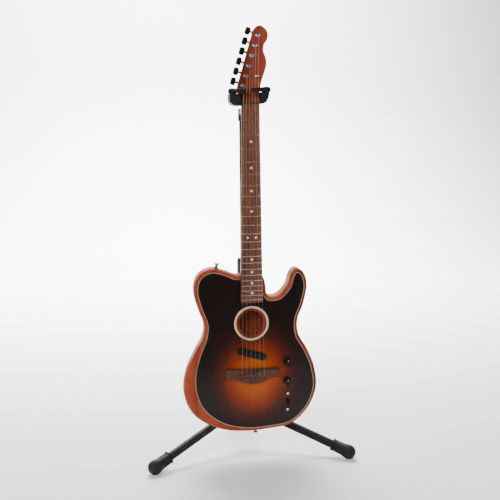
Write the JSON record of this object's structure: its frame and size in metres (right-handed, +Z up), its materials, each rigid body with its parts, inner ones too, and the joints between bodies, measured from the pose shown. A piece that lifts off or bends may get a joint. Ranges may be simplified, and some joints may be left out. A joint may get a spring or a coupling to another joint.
{
  "type": "guitar on stand",
  "caption": "Single-cutaway electro-acoustic guitar with a sunburst face, hanging in the self-closing yoke of a black folding tripod stand.",
  "frame": {"origin": "middle of the footprint's bounding box, on the floor", "axes": "+Z up along the column and the neck; the guitar's face looks along -Y; +X to the right seen from the front"},
  "size_m": [0.5238, 0.459, 1.0665],
  "materials": {
    "mahogany": "satin reddish-brown mahogany",
    "top_burst": "satin black to amber sunburst on spruce",
    "rosewood": "oiled dark brown open-grained wood",
    "cream": "satin cream",
    "bone": "black satin",
    "black_plastic": "black satin gloss",
    "chrome": "polished",
    "string_steel": "bronze-wound and plain steel wire",
    "stand_black": "black satin powder coat",
    "stand_rubber": "matt black rubber and foam"
  },
  "bodies": {
    "stand_base": {"base_hub": "stand_black", "lower_tube": "stand_black", "height_clutch": "stand_black", "backrest_bracket": "stand_black"},
    "clutch_trigger": {"clutch_trigger": "stand_black"},
    "backrest": {"backrest_bar": "stand_black", "backrest_pad_left": "stand_rubber", "backrest_pad_right": "stand_rubber"},
    "mast": {"mast": "stand_black"},
    "yoke": {"yoke_fork": "stand_black", "yoke_pad_left": "stand_rubber", "yoke_pad_right": "stand_rubber"},
    "grip_left": {"grip_left": "stand_rubber"},
    "grip_right": {"grip_right": "stand_rubber"},
    "guitar": {"body_shell": "mahogany", "soundboard": "top_burst", "soundhole_ring": "cream", "soundhole_collar": "mahogany", "neck": "mahogany", "fretboard": "rosewood", "nut": "bone", "bridge": "rosewood", "saddle": "bone", "pickup": "black_plastic", "strap_button_upper": "chrome", "strap_button_lower": "chrome", "tuner_housing_1": "chrome", "tuner_housing_2": "chrome", "tuner_housing_3": "chrome", "tuner_housing_4": "chrome", "tuner_housing_5": "chrome", "tuner_housing_6": "chrome", "string_1": "string_steel", "string_2": "string_steel", "string_3": "string_steel", "string_4": "string_steel", "string_5": "string_steel", "string_6": "string_steel"},
    "volume_knob": {"volume_knob": "black_plastic"},
    "blend_knob": {"blend_knob": "black_plastic"},
    "switch_lever": {"switch_lever": "black_plastic"},
    "leg_left": {"leg_left": "stand_black", "foot_left": "stand_rubber"},
    "leg_right": {"leg_right": "stand_black", "foot_right": "stand_rubber"},
    "leg_rear": {"leg_rear": "stand_black", "foot_rear": "stand_rubber"},
    "tuner_button_1": {"tuner_button_1": "black_plastic"},
    "tuner_post_1": {"tuner_post_1": "chrome"},
    "tuner_button_2": {"tuner_button_2": "black_plastic"},
    "tuner_post_2": {"tuner_post_2": "chrome"},
    "tuner_button_3": {"tuner_button_3": "black_plastic"},
    "tuner_post_3": {"tuner_post_3": "chrome"},
    "tuner_button_4": {"tuner_button_4": "black_plastic"},
    "tuner_post_4": {"tuner_post_4": "chrome"},
    "tuner_button_5": {"tuner_button_5": "black_plastic"},
    "tuner_post_5": {"tuner_post_5": "chrome"},
    "tuner_button_6": {"tuner_button_6": "black_plastic"},
    "tuner_post_6": {"tuner_post_6": "chrome"}
  },
  "joints": [
    {"name": "leg_fold_left", "type": "hinge", "parent": "stand_base", "child": "leg_left", "pos_m": [-0.02598, -0.0855, 0.10195], "axis": [0.5, -0.866, 0], "range_deg": [0, 66]},
    {"name": "leg_fold_right", "type": "hinge", "parent": "stand_base", "child": "leg_right", "pos_m": [0.02598, -0.0855, 0.10195], "axis": [0.5, 0.866, 0], "range_deg": [0, 66]},
    {"name": "leg_fold_rear", "type": "hinge", "parent": "stand_base", "child": "leg_rear", "pos_m": [0, -0.0405, 0.10195], "axis": [-1, 0, 0], "range_deg": [0, 66]},
    {"name": "clutch_squeeze", "type": "hinge", "parent": "stand_base", "child": "clutch_trigger", "pos_m": [0, -0.0495, 0.494], "axis": [-1, 0, 0], "range_deg": [0, 7], "stiffness_Nm_per_rad": 0.6, "springref_deg": -11.46},
    {"name": "backrest_fold", "type": "hinge", "parent": "stand_base", "child": "backrest", "pos_m": [0, -0.0965, 0.29], "axis": [1, 0, 0], "range_deg": [0, 85]},
    {"name": "mast_height", "type": "slide", "parent": "stand_base", "child": "mast", "axis": [0, 0, 1], "range_m": [0, 0.12]},
    {"name": "yoke_rise", "type": "slide", "parent": "mast", "child": "yoke", "axis": [0, 0, 1], "range_m": [0, 0.008]},
    {"name": "grip_left_swing", "type": "hinge", "parent": "yoke", "child": "grip_left", "pos_m": [-0.042, -0.1965, 0.91], "axis": [0, 0, -1], "range_deg": [0, 90]},
    {"name": "grip_right_swing", "type": "hinge", "parent": "yoke", "child": "grip_right", "pos_m": [0.0385, -0.1965, 0.914], "axis": [0, 0, 1], "range_deg": [0, 90]},
    {"name": "guitar_lift", "type": "slide", "parent": "yoke", "child": "guitar", "axis": [0, 0, 1], "range_m": [0, 0.04]},
    {"name": "volume_turn", "type": "hinge", "parent": "guitar", "child": "volume_knob", "pos_m": [0.0892, -0.1901, 0.258], "axis": [0, -1, 0], "range_deg": [-270, 0]},
    {"name": "blend_turn", "type": "hinge", "parent": "guitar", "child": "blend_knob", "pos_m": [0.0892, -0.1901, 0.2082], "axis": [0, -1, 0], "range_deg": [-270, 0]},
    {"name": "switch_swing", "type": "hinge", "parent": "guitar", "child": "switch_lever", "pos_m": [0.091, -0.1755, 0.1535], "axis": [1, 0, 0], "range_deg": [-14, 14]},
    {"name": "tuner_button_1_turn", "type": "hinge", "parent": "guitar", "child": "tuner_button_1", "pos_m": [-0.0357, -0.1659, 0.94041], "axis": [-0.9582, 0, 0.2861], "continuous": true},
    {"name": "tuner_post_1_turn", "type": "hinge", "parent": "guitar", "child": "tuner_post_1", "pos_m": [-0.0155, -0.1855, 0.9277], "axis": [0, -1, 0], "continuous": true},
    {"name": "tuner_button_2_turn", "type": "hinge", "parent": "guitar", "child": "tuner_button_2", "pos_m": [-0.02856, -0.1659, 0.96353], "axis": [-0.9582, 0, 0.2861], "continuous": true},
    {"name": "tuner_post_2_turn", "type": "hinge", "parent": "guitar", "child": "tuner_post_2", "pos_m": [-0.00836, -0.1855, 0.95082], "axis": [0, -1, 0], "continuous": true},
    {"name": "tuner_button_3_turn", "type": "hinge", "parent": "guitar", "child": "tuner_button_3", "pos_m": [-0.02142, -0.1659, 0.98665], "axis": [-0.9582, 0, 0.2861], "continuous": true},
    {"name": "tuner_post_3_turn", "type": "hinge", "parent": "guitar", "child": "tuner_post_3", "pos_m": [-0.00122, -0.1855, 0.97394], "axis": [0, -1, 0], "continuous": true},
    {"name": "tuner_button_4_turn", "type": "hinge", "parent": "guitar", "child": "tuner_button_4", "pos_m": [-0.01428, -0.1659, 1.00977], "axis": [-0.9582, 0, 0.2861], "continuous": true},
    {"name": "tuner_post_4_turn", "type": "hinge", "parent": "guitar", "child": "tuner_post_4", "pos_m": [0.00592, -0.1855, 0.99706], "axis": [0, -1, 0], "continuous": true},
    {"name": "tuner_button_5_turn", "type": "hinge", "parent": "guitar", "child": "tuner_button_5", "pos_m": [-0.00714, -0.1659, 1.03289], "axis": [-0.9582, 0, 0.2861], "continuous": true},
    {"name": "tuner_post_5_turn", "type": "hinge", "parent": "guitar", "child": "tuner_post_5", "pos_m": [0.01306, -0.1855, 1.02018], "axis": [0, -1, 0], "continuous": true},
    {"name": "tuner_button_6_turn", "type": "hinge", "parent": "guitar", "child": "tuner_button_6", "pos_m": [0, -0.1659, 1.05601], "axis": [-0.9582, 0, 0.2861], "continuous": true},
    {"name": "tuner_post_6_turn", "type": "hinge", "parent": "guitar", "child": "tuner_post_6", "pos_m": [0.0202, -0.1855, 1.0433], "axis": [0, -1, 0], "continuous": true}
  ],
  "couplings": [
    {"joint": "grip_left_swing", "follows": "yoke_rise", "rad_per_m": 195},
    {"joint": "grip_right_swing", "follows": "yoke_rise", "rad_per_m": 195},
    {"joint": "tuner_post_1_turn", "follows": "tuner_button_1_turn", "ratio": 0.0625},
    {"joint": "tuner_post_2_turn", "follows": "tuner_button_2_turn", "ratio": 0.0625},
    {"joint": "tuner_post_3_turn", "follows": "tuner_button_3_turn", "ratio": 0.0625},
    {"joint": "tuner_post_4_turn", "follows": "tuner_button_4_turn", "ratio": 0.0625},
    {"joint": "tuner_post_5_turn", "follows": "tuner_button_5_turn", "ratio": 0.0625},
    {"joint": "tuner_post_6_turn", "follows": "tuner_button_6_turn", "ratio": 0.0625}
  ]
}
